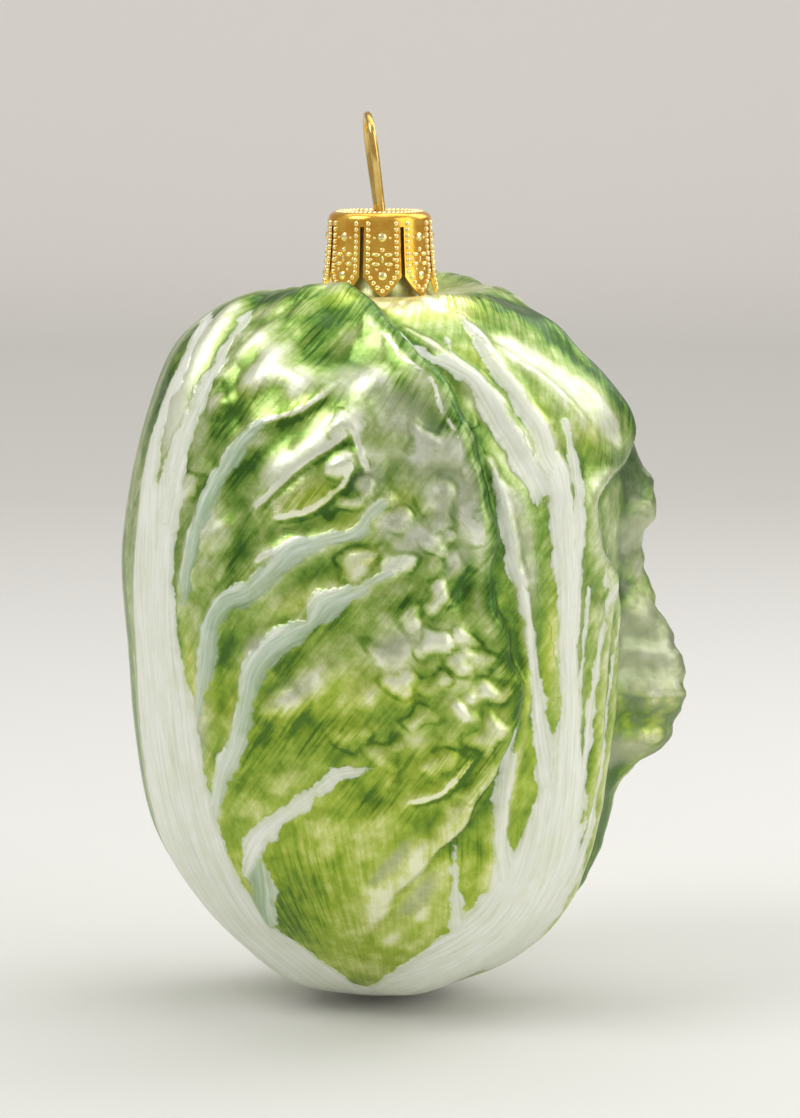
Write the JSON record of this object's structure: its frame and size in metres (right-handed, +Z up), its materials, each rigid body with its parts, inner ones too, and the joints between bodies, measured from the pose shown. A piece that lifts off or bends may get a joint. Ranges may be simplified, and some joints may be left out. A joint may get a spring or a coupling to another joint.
{
  "type": "blown-glass cabbage ornament",
  "caption": "Hollow blown-glass tree ornament shaped as a napa cabbage head, with a stamped crown cap and a sprung wire hanging loop.",
  "frame": {"origin": "the inside of the hanging loop's crown, where a hook or thread carries the ornament", "axes": "+Z up along the ornament, -Y out of its front leaf, +X towards the frilled leaf edge"},
  "size_m": [0.0732, 0.0623, 0.1149],
  "materials": {
    "painted_glass": "silvered inside, translucent green lacquer and opaque white brush strokes outside, satin gloss",
    "gold_cap": "bright gold, stamped with beads",
    "gold_wire": "polished pale gold"
  },
  "bodies": {
    "root": {"glass_head": "painted_glass", "crown_cap": "gold_cap", "hanger_wire": "gold_wire"}
  },
  "joints": []
}
